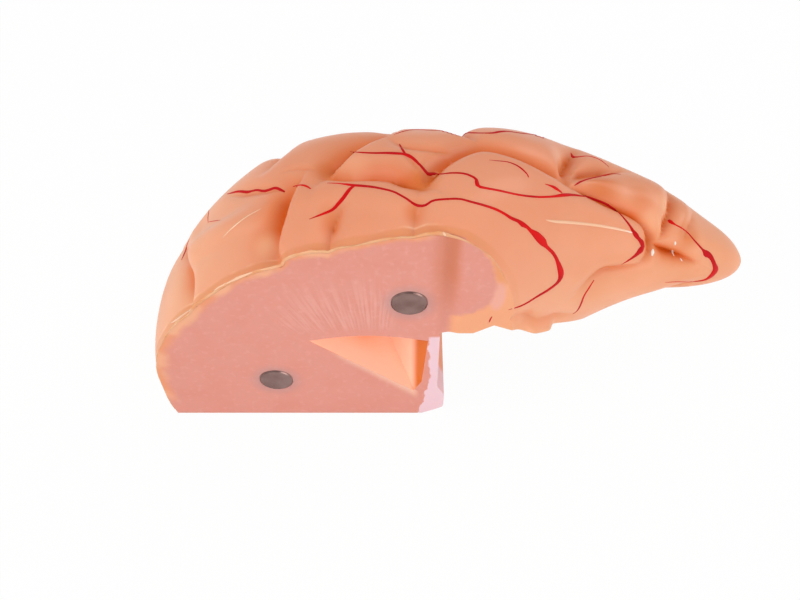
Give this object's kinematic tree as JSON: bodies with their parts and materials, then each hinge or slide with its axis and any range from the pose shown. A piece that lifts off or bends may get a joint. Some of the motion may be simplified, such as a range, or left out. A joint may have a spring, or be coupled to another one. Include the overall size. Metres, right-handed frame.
{
  "type": "brain anatomy model lobe",
  "caption": "Left temporal and occipital lobe of a dissectible life-size brain model, cast in soft vinyl, with disc magnets in its cut face.",
  "frame": {"origin": "a point on the flat midline face that the lobe lies on, 20 mm behind the cut face and straight below the lower magnet", "axes": "+X along the lobe towards the temporal pole, +Y away from the cut face towards the base of the brain, +Z outwards from the midline face"},
  "size_m": [0.146, 0.051, 0.0706],
  "materials": {
    "cortex_vinyl": "satin",
    "nickel": "satin"
  },
  "bodies": {
    "root": {"brain_casting": "cortex_vinyl", "magnet_upper": "nickel", "magnet_lower": "nickel"}
  },
  "joints": []
}
